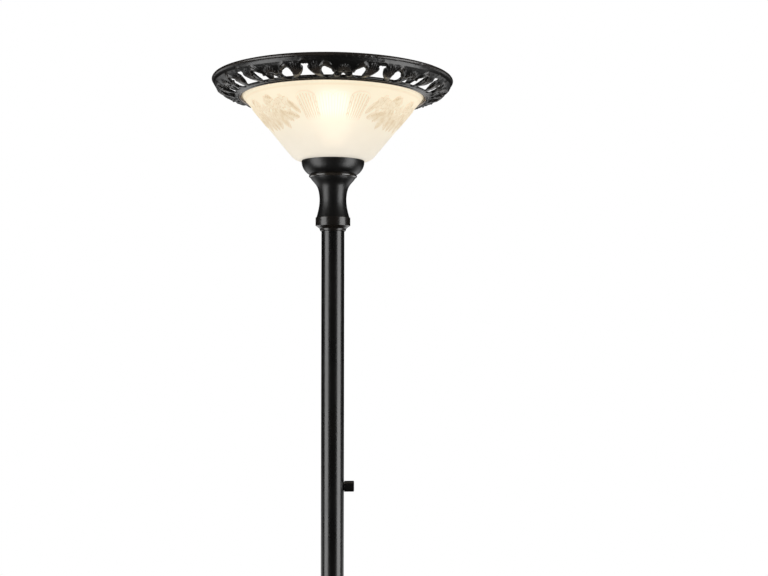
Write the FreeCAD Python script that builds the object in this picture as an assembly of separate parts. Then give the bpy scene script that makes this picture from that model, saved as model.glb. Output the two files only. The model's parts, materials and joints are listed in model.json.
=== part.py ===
import FreeCAD, Part
import math
import os
from FreeCAD import Vector

# A torchiere floor lamp: a weighted round base, a pole in screwed sections, a turned neck and
# cup, a glass bowl on a lampholder, and a pierced cast ring on the bowl's edge.
# Millimetres, +Z up. The origin is on the floor, on the lamp's axis. The front faces -Y,
# the switch knob points along +X and the cord inlet is at the back, on +Y.

# Base
base_radius = 133.5
base_rim_height = 25.0
base_wall = 2.0
base_floor_gap = 1.0
base_steps = [(98.0, 10.0), (76.0, 6.5), (56.0, 5.5)]
base_edge_round = 3.2
base_step_round = 2.4
hub_radius = 30.0
hub_height = 6.5
hub_collar_wall = 2.4
hub_collar_height = 16.0
pad_thickness = 2.0
weight_thickness = 18.0
weight_side_gap = 4.5
weight_recess_radius = 20.0
weight_recess_depth = 8.0
cord_groove_width = 10.0
cord_groove_depth = 12.0
grommet_height = 9.8
grommet_bore = 3.6
grommet_body_radius = 5.6
grommet_flange_radius = 7.2
grommet_flange = 1.3
base_stud_radius = 5.0
base_stud_bore = 3.4

# Pole
pole_radius = 16.0
pole_wall = 1.0
section_length = 438.0
section_count = 3
top_section_length = 238.0
joint_plug_length = 20.0
joint_stud_radius = 8.0
joint_stud_length = 14.0
joint_bore = 5.0
insert_length = 18.0

# Switch
switch_below_seam = 129.0
switch_depth = 9.5
switch_case_height = 26.0
case_wall = 1.2
bushing_radius = 4.0
switch_nut_thickness = 2.0
switch_shaft_radius = 2.0
rotor_radius = 5.6
knob_radius = 7.5
knob_length = 13.6
knob_wall = 1.2
knob_screw_radius = 1.5

# Neck and cup
collar_width = 8.2
collar_skirt = 11.8
collar_land = 11.6
collar_rise = 7.4
neck_foot_step = 1.2
neck_waist_radius = 18.7
neck_top_radius = 31.6
neck_height = 55.6
neck_wall = 2.2
cup_foot_step = 0.2
cup_bead_height = 3.6
cup_bead_swell = 1.7
cup_radius = 43.7
cup_height = 23.0
cup_floor = 3.0
cup_rim = 2.4
cup_well_radius = 27.0
nipple_radius = 4.8
nipple_bore = 3.3

# Bowl and its seat
bowl_radius = 125.5
bowl_height = 88.0
bowl_wall = 4.0
bowl_shoulder_width = 14.3
bowl_shoulder_rise = 6.0
bowl_hole_gap = 1.5
bowl_boss_depth = 3.4
gasket_thickness = 1.2

# Lampholder and bulb
socket_radius = 19.0
socket_height = 33.0
socket_base = 6.5
socket_wall = 4.2
screw_shell_radius = 13.9
socket_ring_width = 8.0
socket_ring_height = 6.0
bulb_length = 108.0
bulb_radius = 30.0
bulb_cap_radius = 13.0
bulb_cap_height = 19.0
bulb_wall = 0.8

# Pierced ring
ring_width = 41.0
ring_gap = 0.5
ring_section = [(3.0, -0.3), (8.5, -0.1), (14.0, 1.4), (20.0, 3.7), (30.0, 8.4), (35.0, 12.8)]
ring_rise = 20.6
ring_web = 2.2
ring_bead = 2.5
ring_inner_bead = 3.0
ring_lip_overlap = 4.5
ring_lip = 3.0
ring_inner_border = 10.0
ring_outer_border = 7.5
ring_periods = 10
first_bell_angle = 5.0
leaf_gap_angle = 10.1

# Clearances: a turned or screwed fit, a loose fit, and a running fit on a radius
fit_gap = 0.05
loose_gap = 0.3
running_gap = 0.05

# Heights, worked up from the floor
cover_top = base_rim_height + sum(rise for radius, rise in base_steps)
weight_top = pad_thickness + weight_thickness
pole_foot = cover_top + hub_height
top_seam = pole_foot + section_count * section_length
pole_top = top_seam + top_section_length
neck_foot = pole_top + collar_rise
cup_foot = neck_foot + neck_height
cup_top = cup_foot + cup_height
bowl_seat = cup_top - bowl_boss_depth
bowl_under = cup_top + loose_gap * 2
bowl_top = cup_top + bowl_height
ring_seat = bowl_top + gasket_thickness
switch_height = top_seam - switch_below_seam

# Radii worked out from the pieces they fit
tube_bore = pole_radius - pole_wall
hub_collar_radius = pole_radius + hub_collar_wall
collar_radius = pole_radius + collar_width
neck_foot_radius = collar_radius - neck_foot_step
cup_foot_radius = neck_top_radius + cup_foot_step
bowl_shoulder_radius = cup_radius + bowl_shoulder_width
bowl_hole_radius = socket_radius + bowl_hole_gap
socket_ring_radius = socket_radius + socket_ring_width
ring_inner_radius = bowl_radius + ring_gap
ring_radius = ring_inner_radius + ring_width
switch_nut_radius = knob_radius - knob_wall - loose_gap

Z = Vector(0, 0, 1)
X = Vector(1, 0, 0)
Y = Vector(0, 1, 0)


class Outline:
    """A closed outline in the XZ half plane, drawn from point to point and turned about Z."""

    def __init__(self, radius, height):
        self.start = Vector(radius, 0, height)
        self.here = self.start
        self.edges = []

    def line(self, radius, height):
        there = Vector(radius, 0, height)
        self.edges.append(Part.LineSegment(self.here, there).toShape())
        self.here = there
        return self

    def arc(self, via, to):
        there = Vector(to[0], 0, to[1])
        self.edges.append(Part.Arc(self.here, Vector(via[0], 0, via[1]), there).toShape())
        self.here = there
        return self

    def curve(self, *points):
        stops = [self.here] + [Vector(radius, 0, height) for radius, height in points]
        spline = Part.BSplineCurve()
        spline.interpolate(stops)
        self.edges.append(spline.toShape())
        self.here = stops[-1]
        return self

    def turned(self):
        if (self.here - self.start).Length > 1e-6:
            self.line(self.start.x, self.start.z)
        return Part.Face(Part.Wire(self.edges)).revolve(Vector(0, 0, 0), Z, 360)


def rod(radius, start, length, axis=Z):
    return Part.makeCylinder(radius, length, start, axis)


def tube(radius, bore, bottom, top):
    outer = rod(radius, Vector(0, 0, bottom), top - bottom)
    return outer.cut(rod(bore, Vector(0, 0, bottom - 1), top - bottom + 2))


def tube_x(radius, bore, left, right, height):
    outer = rod(radius, Vector(left, 0, height), right - left, X)
    return outer.cut(rod(bore, Vector(left - 1, 0, height), right - left + 2, X))


def block(low, high):
    return Part.makeBox(high[0] - low[0], high[1] - low[1], high[2] - low[2], Vector(*low))


def hexagon(across_flats, bore, bottom, height):
    corner = across_flats / math.sqrt(3)
    turns = [math.radians(60 * k) for k in range(6)]
    corners = [Vector(corner * math.cos(turn), corner * math.sin(turn), bottom) for turn in turns]
    prism = Part.Face(Part.makePolygon(corners + corners[:1])).extrude(Vector(0, 0, height))
    return prism.cut(rod(bore, Vector(0, 0, bottom - 1), height + 2))


def save(node, shape):
    if not shape.isValid():
        raise ValueError(node + " is not a valid shape")
    shape.exportStep("parts/" + node + ".step")


# Base

def stepped_disc(inset, top_drop):
    """The base's stepped disc, drawn in by inset at its sides and by top_drop at its flats."""
    outline = Outline(0, base_floor_gap)
    outline.line(base_radius - inset, base_floor_gap)
    height = base_rim_height
    outline.line(base_radius - inset, height - top_drop)
    for radius, rise in base_steps:
        outline.line(radius - inset, height - top_drop)
        height = height + rise
        outline.line(radius - inset, height - top_drop)
    outline.line(0, height - top_drop)
    return outline.turned()


def round_steps(disc):
    """Rounds the outer corners of the base, more at its rim than at its steps."""
    height = base_rim_height
    rim = [edge for edge in disc.Edges if is_circle_at(edge, base_radius, height)]
    disc = disc.makeFillet(base_edge_round, rim)
    for radius, rise in base_steps:
        foot = [edge for edge in disc.Edges if is_circle_at(edge, radius, height)]
        disc = disc.makeFillet(base_step_round, foot)
        height = height + rise
        edge_round = min(base_edge_round, rise - base_step_round - 0.5)
        top = [edge for edge in disc.Edges if is_circle_at(edge, radius, height)]
        disc = disc.makeFillet(edge_round, top)
    return disc


def is_circle_at(edge, radius, height):
    if not isinstance(edge.Curve, Part.Circle):
        return False
    return abs(edge.Curve.Radius - radius) < 0.01 and abs(edge.Curve.Center.z - height) < 0.01


def base_cover():
    cover = round_steps(stepped_disc(0, 0))
    cover = cover.cut(stepped_disc(base_wall, base_wall))
    cover = cover.cut(rod(base_stud_radius + loose_gap, Vector(0, 0, 0), cover_top + 1))
    inlet = rod(grommet_body_radius + fit_gap, Vector(0, 0, grommet_height), base_radius + 1, Y)
    return cover.cut(inlet)


def base_pad():
    radius = base_radius - base_wall - loose_gap
    return tube(radius, weight_recess_radius, 0, pad_thickness)


def base_weight():
    radius = base_radius - weight_side_gap - base_wall
    weight = tube(radius, base_stud_radius + loose_gap, pad_thickness, weight_top)
    recess_top = pad_thickness + weight_recess_depth
    weight = weight.cut(rod(weight_recess_radius, Vector(0, 0, 0), recess_top))
    half = cord_groove_width / 2
    groove_top = pad_thickness + cord_groove_depth
    groove = block((-half, 0, 0), (half, base_radius, groove_top))
    keep = rod(weight_recess_radius, Vector(0, 0, recess_top), cord_groove_depth)
    return weight.cut(groove.cut(keep))


def base_spacer():
    return tube(base_stud_radius * 2, base_stud_radius + fit_gap, weight_top, cover_top - base_wall)


def base_hub():
    """The turned hub that holds the pole's foot: a low disc under a short collar."""
    collar_top = pole_foot + hub_collar_height
    bore = pole_radius + fit_gap
    outline = Outline(base_stud_radius + fit_gap, cover_top)
    outline.line(hub_radius, cover_top)
    outline.line(hub_radius, cover_top + 3.2)
    outline.arc((hub_radius - 1.0, cover_top + 5.6), (hub_radius - 3.4, pole_foot))
    outline.curve((hub_radius - 8.0, pole_foot + 1.6), (hub_collar_radius + 0.4, pole_foot + 6.5))
    outline.line(hub_collar_radius, collar_top - 1.0)
    outline.line(hub_collar_radius - 1.0, collar_top)
    outline.line(bore, collar_top)
    outline.line(bore, pole_foot)
    outline.line(base_stud_radius + fit_gap, pole_foot)
    return outline.turned()


def base_stud():
    return tube(base_stud_radius, base_stud_bore, pad_thickness + 1.2, pole_foot + insert_length - 3)


def base_washer():
    top = pad_thickness + weight_recess_depth
    return tube(base_stud_radius * 2.8, base_stud_radius + fit_gap, top - 1.5, top)


def base_nut():
    top = pad_thickness + weight_recess_depth - 1.5
    return hexagon(base_stud_radius * 3.4, base_stud_radius + fit_gap, top - 5.0, 5.0)


def cord_grommet():
    """A rubber grommet in the back wall: a flange each side of the wall, and a bore for the cord."""
    outer = base_radius + grommet_flange
    inner = base_radius - base_wall - grommet_flange
    centre = Vector(0, inner, grommet_height)
    blank = rod(grommet_flange_radius, centre, outer - inner, Y)
    wall = tube(base_radius, base_radius - base_wall, base_floor_gap, base_rim_height)
    hole = rod(grommet_body_radius, centre, outer - inner, Y)
    blank = blank.cut(wall.cut(hole))
    return blank.cut(rod(grommet_bore, centre - Y, outer - inner + 2, Y))


# Pole

def section_foot(number):
    return pole_foot + number * section_length


def pole_section(number):
    top = pole_top if number == section_count else section_foot(number + 1)
    section = tube(pole_radius, tube_bore, section_foot(number), top)
    if section_foot(number) < switch_height < top:
        hole = rod(bushing_radius + fit_gap, Vector(0, 0, switch_height), pole_radius + 1, X)
        section = section.cut(hole)
    return section


def pole_stud(seam):
    """The plug in the top of a section, with the stud that screws into the section above."""
    plug = tube(tube_bore - fit_gap, joint_bore, seam - joint_plug_length, seam)
    stud = tube(joint_stud_radius, joint_bore, seam, seam + joint_stud_length)
    return plug.fuse(stud).removeSplitter()


def pole_insert(seam):
    return tube(tube_bore - fit_gap, joint_stud_radius + fit_gap, seam, seam + insert_length)


def foot_insert():
    return tube(tube_bore - fit_gap, base_stud_radius + fit_gap, pole_foot, pole_foot + insert_length)


def head_insert():
    return tube(tube_bore - fit_gap, nipple_radius + fit_gap, pole_top - insert_length, pole_top)


# Switch

case_left = -math.sqrt((tube_bore - loose_gap) ** 2 - switch_depth ** 2)
case_right = -case_left - 1.0
bushing_end = pole_radius + switch_nut_thickness + 0.4
knob_back = pole_radius + 0.4
knob_front = knob_back + knob_length


def switch_case():
    half = switch_case_height / 2
    low = (case_left, -switch_depth, switch_height - half)
    high = (case_right, switch_depth, switch_height + half)
    case = block(low, high)
    low = (case_left - 1, case_wall - switch_depth, switch_height - half + case_wall)
    high = (case_right - case_wall, switch_depth - case_wall, switch_height + half - case_wall)
    case = case.cut(block(low, high))
    return case.cut(rod(switch_shaft_radius + running_gap, Vector(0, 0, switch_height), 20, X))


def switch_lid():
    half = switch_case_height / 2 - case_wall - fit_gap
    side = switch_depth - case_wall - fit_gap
    low = (case_left, -side, switch_height - half)
    return block(low, (case_left + case_wall, side, switch_height + half))


def switch_bushing():
    bore = switch_shaft_radius + running_gap
    return tube_x(bushing_radius, bore, case_right, bushing_end, switch_height)


def switch_nut():
    right = pole_radius + switch_nut_thickness
    return tube_x(switch_nut_radius, bushing_radius + fit_gap, pole_radius, right, switch_height)


def switch_shaft():
    left = case_left + case_wall + 3.0
    return rod(switch_shaft_radius, Vector(left, 0, switch_height), knob_front - 3.0 - left, X)


def switch_rotor():
    """An insulating drum on the shaft, with two raised cams that close the contacts."""
    left = case_left + case_wall + 3.0
    right = case_right - case_wall - 1.0
    drum = tube_x(rotor_radius - 1.2, switch_shaft_radius, left, right, switch_height)
    cam = tube_x(rotor_radius, switch_shaft_radius, left + 2.0, left + 7.0, switch_height)
    slab = block((left, -rotor_radius, switch_height - 2.6), (right, rotor_radius, switch_height + 2.6))
    return drum.fuse(cam.common(slab)).removeSplitter()


def switch_contacts():
    """Two brass leaves, one above and one below the rotor, held against the case's wall."""
    left = case_left + case_wall + 4.0
    reach = switch_case_height / 2 - case_wall
    leaves = []
    for side in (-1, 1):
        foot = switch_height + side * reach
        heights = sorted((foot, foot - side * 0.5))
        leaf = block((left, -3.0, heights[0]), (left + 12.0, 3.0, heights[1]))
        tip = switch_height + side * (rotor_radius + loose_gap)
        heights = sorted((foot, tip))
        post = block((left + 1.0, -1.6, heights[0]), (left + 4.0, 1.6, heights[1]))
        leaves.append(leaf.fuse(post).removeSplitter())
    return Part.makeCompound(leaves)


def switch_knob():
    knob = rod(knob_radius, Vector(knob_back, 0, switch_height), knob_length, X)
    front = [edge for edge in knob.Edges if edge.BoundBox.XMin > knob_front - 0.01]
    knob = knob.makeChamfer(0.7, front)
    start = Vector(knob_back - 1, 0, switch_height)
    recess = 1 + bushing_end + loose_gap - knob_back
    knob = knob.cut(rod(switch_nut_radius + loose_gap, start, recess, X))
    knob = knob.cut(rod(switch_shaft_radius, start, knob_length - 2.0, X))
    return knob.cut(screw_hole(knob_radius + 1))


def screw_hole(top):
    middle = (bushing_end + knob_front) / 2
    start = Vector(middle, 0, switch_height - top)
    return rod(knob_screw_radius, start, top - switch_shaft_radius, Z)


def knob_screw():
    return screw_hole(knob_radius - 0.5)


# Neck and cup

def pole_collar():
    """The bronzed ring between the pole and the neck, bored from below for the pole's top."""
    bore = pole_radius + fit_gap
    bottom = pole_top - collar_skirt
    land_foot = neck_foot - collar_land
    outline = Outline(nipple_radius + fit_gap, neck_foot)
    outline.line(nipple_radius + fit_gap, pole_top)
    outline.line(bore, pole_top)
    outline.line(bore, bottom)
    outline.line(pole_radius + 1.2, bottom)
    outline.arc((pole_radius + 1.9, bottom + 1.2), (pole_radius + 2.4, bottom + 3.4))
    outline.arc((pole_radius + 4.2, bottom + 5.0), (collar_radius - 1.8, land_foot - 0.9))
    outline.line(collar_radius, land_foot)
    outline.line(collar_radius, neck_foot - 0.6)
    outline.line(collar_radius - 0.6, neck_foot)
    return outline.turned()


def neck_bell():
    """The hollow turned neck: a foot, a narrow waist, and a flare up to the cup."""
    foot, waist, head = neck_foot_radius, neck_waist_radius, neck_top_radius
    lower = [(waist + 1.5, neck_foot + 11.0), (waist, neck_foot + 23.0), (waist + 0.8, neck_foot + 34.0)]
    flare = [(waist + 4.4, neck_foot + 44.5), (head - 1.9, cup_foot - 3.0), (head, cup_foot)]
    outline = Outline(foot - neck_wall, neck_foot)
    outline.line(foot, neck_foot)
    outline.curve(*lower, *flare)
    outline.line(nipple_radius + fit_gap, cup_foot)
    outline.line(nipple_radius + fit_gap, cup_foot - neck_wall)
    outline.line(head - 4.5, cup_foot - neck_wall)
    outline.curve((waist + 1.2 - neck_wall, neck_foot + 39.0), (waist - neck_wall, neck_foot + 22.0),
                  (foot - neck_wall, neck_foot))
    return outline.turned()


def fitter_cup():
    """The cup that carries the bowl: a bead at its foot, a round side, and a stepped well."""
    seat = bowl_seat - gasket_thickness
    outline = Outline(nipple_radius + fit_gap, cup_foot)
    outline.line(cup_foot_radius, cup_foot)
    bead_top = cup_foot + cup_bead_height
    outline.arc((cup_foot_radius + cup_bead_swell, (cup_foot + bead_top) / 2), (cup_foot_radius + 0.3, bead_top))
    outline.line(cup_foot_radius + 0.9, bead_top + 0.4)
    outline.arc((cup_radius - 2.4, cup_top - 10.5), (cup_radius, cup_top))
    outline.line(cup_radius - cup_rim, cup_top)
    outline.line(cup_radius - cup_rim, seat)
    outline.line(cup_well_radius, seat)
    outline.line(cup_well_radius, cup_foot + cup_floor)
    outline.line(nipple_radius + fit_gap, cup_foot + cup_floor)
    return outline.turned()


nut_seat = cup_foot + cup_floor
nut_washer = 1.0
nut_height = 4.0
socket_foot = nut_seat + nut_washer + nut_height
contact_height = socket_foot + socket_base + 2.0
bulb_foot = contact_height + 0.6


def cup_nipple():
    bottom = pole_top - insert_length + 3
    return tube(nipple_radius, nipple_bore, bottom, socket_foot + socket_base - 1.5)


def cup_washer():
    return tube(nipple_radius * 2.0, nipple_radius + fit_gap, nut_seat, nut_seat + nut_washer)


def cup_nut():
    return hexagon(nipple_radius * 3.2, nipple_radius + fit_gap, nut_seat + nut_washer, nut_height)


# Bowl

def bowl_outline():
    """The bowl's section: a straight cone, a rounded shoulder, and a boss inside the cup's rim."""
    boss_radius = cup_radius - cup_rim - loose_gap
    shoulder = bowl_under + bowl_shoulder_rise
    slant = (bowl_radius - bowl_shoulder_radius) / (bowl_top - shoulder)
    across = bowl_wall * math.sqrt(1 + slant * slant)
    floor = bowl_under + bowl_wall
    outline = Outline(bowl_hole_radius, bowl_seat)
    outline.line(boss_radius, bowl_seat)
    outline.line(boss_radius, bowl_under)
    outline.line(cup_radius + 1.0, bowl_under)
    outline.arc((bowl_shoulder_radius - 5.5, bowl_under + 1.8), (bowl_shoulder_radius, shoulder))
    outline.line(bowl_radius, bowl_top)
    outline.line(bowl_radius - across, bowl_top)
    outline.line(bowl_shoulder_radius - across + slant * 1.5, shoulder + 1.5)
    outline.arc((bowl_shoulder_radius - across - 3.2, floor + 1.0), (cup_radius - 3.0, floor))
    outline.line(bowl_hole_radius, floor)
    return outline


def bowl_across():
    """The width of the bowl's top edge, across its slanted wall."""
    slant = (bowl_radius - bowl_shoulder_radius) / (bowl_top - bowl_under - bowl_shoulder_rise)
    return bowl_wall * math.sqrt(1 + slant * slant)


def glass_bowl():
    return bowl_outline().turned()


def bowl_gasket():
    radius = cup_radius - cup_rim - loose_gap
    return tube(radius, cup_well_radius + 1.0, bowl_seat - gasket_thickness, bowl_seat)


def rim_gasket():
    return tube(bowl_radius - 0.6, bowl_radius - bowl_across() + 0.6, bowl_top, ring_seat)


# Lampholder and bulb

def socket_body():
    top = socket_foot + socket_height
    bore = nipple_radius + fit_gap
    body = tube(socket_radius, bore, socket_foot, top)
    well = socket_radius - socket_wall
    return body.cut(rod(well, Vector(0, 0, socket_foot + socket_base), socket_height))


def screw_shell():
    bottom = socket_foot + socket_base
    shell = tube(screw_shell_radius, screw_shell_radius - 0.5, bottom, bottom + 22.0)
    flange = tube(socket_radius - socket_wall - fit_gap, screw_shell_radius - 0.5, bottom, bottom + 0.6)
    return shell.fuse(flange).removeSplitter()


def centre_contact():
    """A brass spring strip: a foot on the lampholder's floor and a tongue under the bulb's tip."""
    floor = socket_foot + socket_base
    outline = [Vector(-11.0, 0, floor), Vector(-6.0, 0, floor), Vector(-4.0, 0, contact_height),
               Vector(4.0, 0, contact_height)]
    lower = [point + Vector(0, 0, 0.6) for point in reversed(outline)]
    corners = outline + lower
    face = Part.Face(Part.makePolygon([point - Y * 2.5 for point in corners + corners[:1]]))
    return face.extrude(Y * 5.0)


def socket_ring():
    bottom = bowl_under + bowl_wall + gasket_thickness
    ring = tube(socket_ring_radius, socket_radius + fit_gap, bottom, bottom + socket_ring_height)
    top = bottom + socket_ring_height
    edges = [edge for edge in ring.Edges if is_circle_at(edge, socket_ring_radius, top)]
    ring = ring.makeFillet(1.2, edges)
    notch = rod(1.6, Vector(socket_ring_radius, 0, bottom), socket_ring_height)
    for k in range(12):
        turned = notch.copy()
        turned.rotate(Vector(0, 0, 0), Z, 30 * k)
        ring = ring.cut(turned)
    return ring


def ring_washer():
    bottom = bowl_under + bowl_wall
    return tube(socket_ring_radius, bowl_hole_radius, bottom, bottom + gasket_thickness)


cap_foot = bulb_foot + 6.0
cap_top = cap_foot + bulb_cap_height
globe_height = bulb_foot + bulb_length - bulb_radius


def bulb_tip():
    return rod(4.4, Vector(0, 0, bulb_foot), 1.4)


def bulb_insulator():
    return Part.makeCone(5.2, 10.6, cap_foot - bulb_foot - 1.4, Vector(0, 0, bulb_foot + 1.4))


def bulb_cap():
    """The screw cap: a closed floor and a wall with rounded thread ridges."""
    outline = Outline(0, cap_foot)
    outline.line(10.8, cap_foot)
    outline.line(bulb_cap_radius - 0.8, cap_foot + 1.4)
    height = cap_foot + 1.4
    pitch = (bulb_cap_height - 2.8) / 5
    for turn in range(5):
        outline.arc((bulb_cap_radius, height + pitch / 2), (bulb_cap_radius - 0.8, height + pitch))
        height = height + pitch
    outline.line(bulb_cap_radius - 0.8, cap_top)
    outline.line(bulb_cap_radius - 1.4, cap_top)
    outline.line(bulb_cap_radius - 1.4, cap_foot + 0.8)
    outline.line(0, cap_foot + 0.8)
    return outline.turned()


def bulb_glass():
    """The bulb's envelope: a neck on the cap, a flare, and a round globe."""
    neck = bulb_cap_radius - 0.8
    inner = bulb_radius - bulb_wall
    low = 32.0
    side = math.radians(-low)
    outline = Outline(neck, cap_top)
    flare = (bulb_radius * math.cos(side), globe_height + bulb_radius * math.sin(side))
    outline.curve((neck + 1.0, cap_top + 9.0), (neck + 5.5, cap_top + 21.0), flare)
    crown = bulb_radius * math.sqrt(0.5)
    outline.arc((crown, globe_height + crown), (0, globe_height + bulb_radius))
    outline.line(0, globe_height + inner)
    crown = inner * math.sqrt(0.5)
    flare = (inner * math.cos(side), globe_height + inner * math.sin(side))
    outline.arc((crown, globe_height + crown), flare)
    outline.curve((neck + 5.5 - bulb_wall, cap_top + 21.4), (neck + 1.0 - bulb_wall, cap_top + 9.0),
                  (neck - bulb_wall, cap_top))
    return outline.turned()


def bulb_stem():
    """The glass stem inside the bulb, flared where it seals to the neck."""
    foot = bulb_cap_radius - 0.8 - bulb_wall
    outline = Outline(0, cap_top + 2.0)
    outline.line(foot, cap_top)
    outline.line(foot, cap_top + 0.6)
    outline.curve((5.0, cap_top + 6.0), (3.0, cap_top + 14.0), (2.2, cap_top + 26.0))
    outline.line(1.4, cap_top + 30.0)
    outline.line(0, cap_top + 30.0)
    return outline.turned()


def bulb_filament():
    """Two support wires up from the stem and the filament between them, as one bent wire."""
    top = globe_height - 2.0
    foot = cap_top + 25.0
    path = [Vector(-1.0, 0, foot), Vector(-11.0, 0, top), Vector(0, 0, top + 3.0), Vector(11.0, 0, top),
            Vector(1.0, 0, foot)]
    runs = []
    for start, end in zip(path, path[1:]):
        run = rod(0.4, start, (end - start).Length, end - start)
        runs.append(run)
        runs.append(Part.makeSphere(0.4, end))
    return runs[0].multiFuse(runs[1:-1])


def socket_leads():
    """The two insulated leads from the switch up through the pole and the neck to the lampholder."""
    bottom = switch_height + switch_case_height / 2
    top = socket_foot + socket_base - 1.5
    return Part.makeCompound([rod(1.1, Vector(0, side * 1.5, bottom), top - bottom) for side in (-1, 1)])


# Pierced ring

ring_edge_height = bowl_top + 0.3
outer_bead_centre = (ring_radius - ring_bead, ring_edge_height + ring_rise)
inner_bead_centre = (ring_inner_radius + ring_inner_bead, ring_edge_height + ring_section[0][1])


def web_face(side):
    """Points along one face of the web, half its thickness from its middle line."""
    middle = [(ring_inner_radius + out, ring_edge_height + rise) for out, rise in ring_section]
    middle.append(outer_bead_centre)
    points = []
    for before, here, after in zip(middle[:1] + middle, middle, middle[1:] + middle[-1:]):
        along = Vector(after[0] - before[0], 0, after[1] - before[1])
        across = Vector(-along.z, 0, along.x).normalize() * (side * ring_web / 2)
        points.append((here[0] + across.x, here[1] + across.z))
    return points


def ring_web_solid():
    """The web: a flat shelf at the inner border that curves up to the outer one."""
    lower = web_face(-1)
    upper = web_face(1)
    outline = Outline(*lower[0])
    outline.curve(*lower[1:])
    outline.line(*upper[-1])
    outline.curve(*reversed(upper[:-1]))
    return outline.turned()


def ring_bead_solid(radius, centre):
    return Part.makeTorus(centre[0], radius, Vector(0, 0, centre[1]))


def ring_lip_solid():
    """The flat inner lip that rests on the bowl's edge."""
    outer = ring_inner_radius + ring_inner_bead
    return tube(outer, bowl_radius - ring_lip_overlap, ring_seat, ring_seat + ring_lip)


def opening(outline_edges, angle):
    face = Part.Face(Part.Wire(outline_edges))
    prism = face.extrude(Vector(0, 0, 80))
    prism.translate(Vector(0, 0, bowl_top - 30))
    prism.rotate(Vector(0, 0, 0), Z, angle)
    return prism


def bell_opening(angle):
    """A bell: a small cap near the outer border, a narrow neck, and a wide skirt by the inner one."""
    foot = ring_inner_radius + ring_inner_border
    head = ring_radius - ring_outer_border
    neck = head - 4.5
    left = [Vector(foot - 0.7, -14.8, 0), Vector(foot + 8.0, -6.8, 0), Vector(neck, -2.5, 0)]
    right = [Vector(point.x, -point.y, 0) for point in reversed(left)]
    cap = [left[-1], Vector(head - 1.7, -5.2, 0), Vector(head, -4.4, 0)]
    cap = cap + [Vector(point.x, -point.y, 0) for point in reversed(cap)]
    edges = [Part.Arc(*left).toShape()]
    for start, end in zip(cap, cap[1:]):
        edges.append(Part.LineSegment(start, end).toShape())
    edges.append(Part.Arc(*right).toShape())
    edges.append(Part.Arc(right[-1], Vector(foot, 0, 0), left[0]).toShape())
    return opening(edges, angle)


def leaf_opening(angle, side):
    """A boot-shaped gap between bell and fan, tall on the bell's side and broad on the fan's."""
    foot = ring_inner_radius + ring_inner_border
    points = [(0.2, -4.4), (9.0, -6.6), (16.2, -6.3), (19.8, -3.8), (17.8, 0.8), (13.4, 6.3), (3.0, 6.7)]
    spline = Part.BSplineCurve()
    spline.interpolate([Vector(foot + out, side * across, 0) for out, across in points], PeriodicFlag=True)
    return opening([spline.toShape()], angle)


def fan_opening(angle):
    foot = ring_inner_radius + ring_inner_border
    corners = [Vector(foot, -5.0, 0), Vector(foot + 9.5, 0, 0), Vector(foot, 5.0, 0)]
    return opening(Part.makePolygon(corners + corners[:1]).Edges, angle)


def rim_ring():
    """The cast ring: a round outer border, an inner border with its lip, and a pierced web."""
    ring = ring_web_solid()
    ring = ring.fuse(ring_bead_solid(ring_bead, outer_bead_centre))
    ring = ring.fuse(ring_bead_solid(ring_inner_bead, inner_bead_centre))
    ring = ring.fuse(ring_lip_solid())
    period = 360 / ring_periods
    for k in range(ring_periods):
        bell = first_bell_angle + k * period
        fan = bell + period / 2
        leaves = [leaf_opening(bell + side * leaf_gap_angle, side) for side in (-1, 1)]
        cuts = [bell_opening(bell), fan_opening(fan)] + leaves
        ring = ring.cut(cuts)
    return ring


os.makedirs("parts", exist_ok=True)

save("base_cover", base_cover())
save("base_pad", base_pad())
save("base_weight", base_weight())
save("base_spacer", base_spacer())
save("base_hub", base_hub())
save("base_stud", base_stud())
save("base_washer", base_washer())
save("base_nut", base_nut())
save("cord_grommet", cord_grommet())

save("foot_insert", foot_insert())
for number in range(section_count + 1):
    save("pole_section_" + str(number + 1), pole_section(number))
for number in range(1, section_count + 1):
    save("pole_stud_" + str(number), pole_stud(section_foot(number)))
    save("pole_insert_" + str(number), pole_insert(section_foot(number)))
save("head_insert", head_insert())

save("switch_case", switch_case())
save("switch_lid", switch_lid())
save("switch_bushing", switch_bushing())
save("switch_nut", switch_nut())
save("switch_contacts", switch_contacts())
save("switch_shaft", switch_shaft())
save("switch_rotor", switch_rotor())
save("switch_knob", switch_knob())
save("knob_screw", knob_screw())
save("socket_leads", socket_leads())

save("pole_collar", pole_collar())
save("neck_bell", neck_bell())
save("fitter_cup", fitter_cup())
save("cup_nipple", cup_nipple())
save("cup_washer", cup_washer())
save("cup_nut", cup_nut())

save("bowl_gasket", bowl_gasket())
save("glass_bowl", glass_bowl())
save("ring_washer", ring_washer())
save("socket_ring", socket_ring())
save("socket_body", socket_body())
save("screw_shell", screw_shell())
save("centre_contact", centre_contact())
save("bulb_tip", bulb_tip())
save("bulb_insulator", bulb_insulator())
save("bulb_cap", bulb_cap())
save("bulb_glass", bulb_glass())
save("bulb_stem", bulb_stem())
save("bulb_filament", bulb_filament())
save("rim_gasket", rim_gasket())
save("rim_ring", rim_ring())

print("lamp height", round(outer_bead_centre[1] + ring_bead, 2))
print("knob height", switch_height, "cup rim", cup_top, "bowl edge", bowl_top)
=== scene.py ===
"""Looks of the torchiere floor lamp: finishes, cast ring, moulded glass, studio and camera."""
import json
import math

import bmesh
import bpy
import numpy as np
from mathutils import Matrix, Vector


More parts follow.
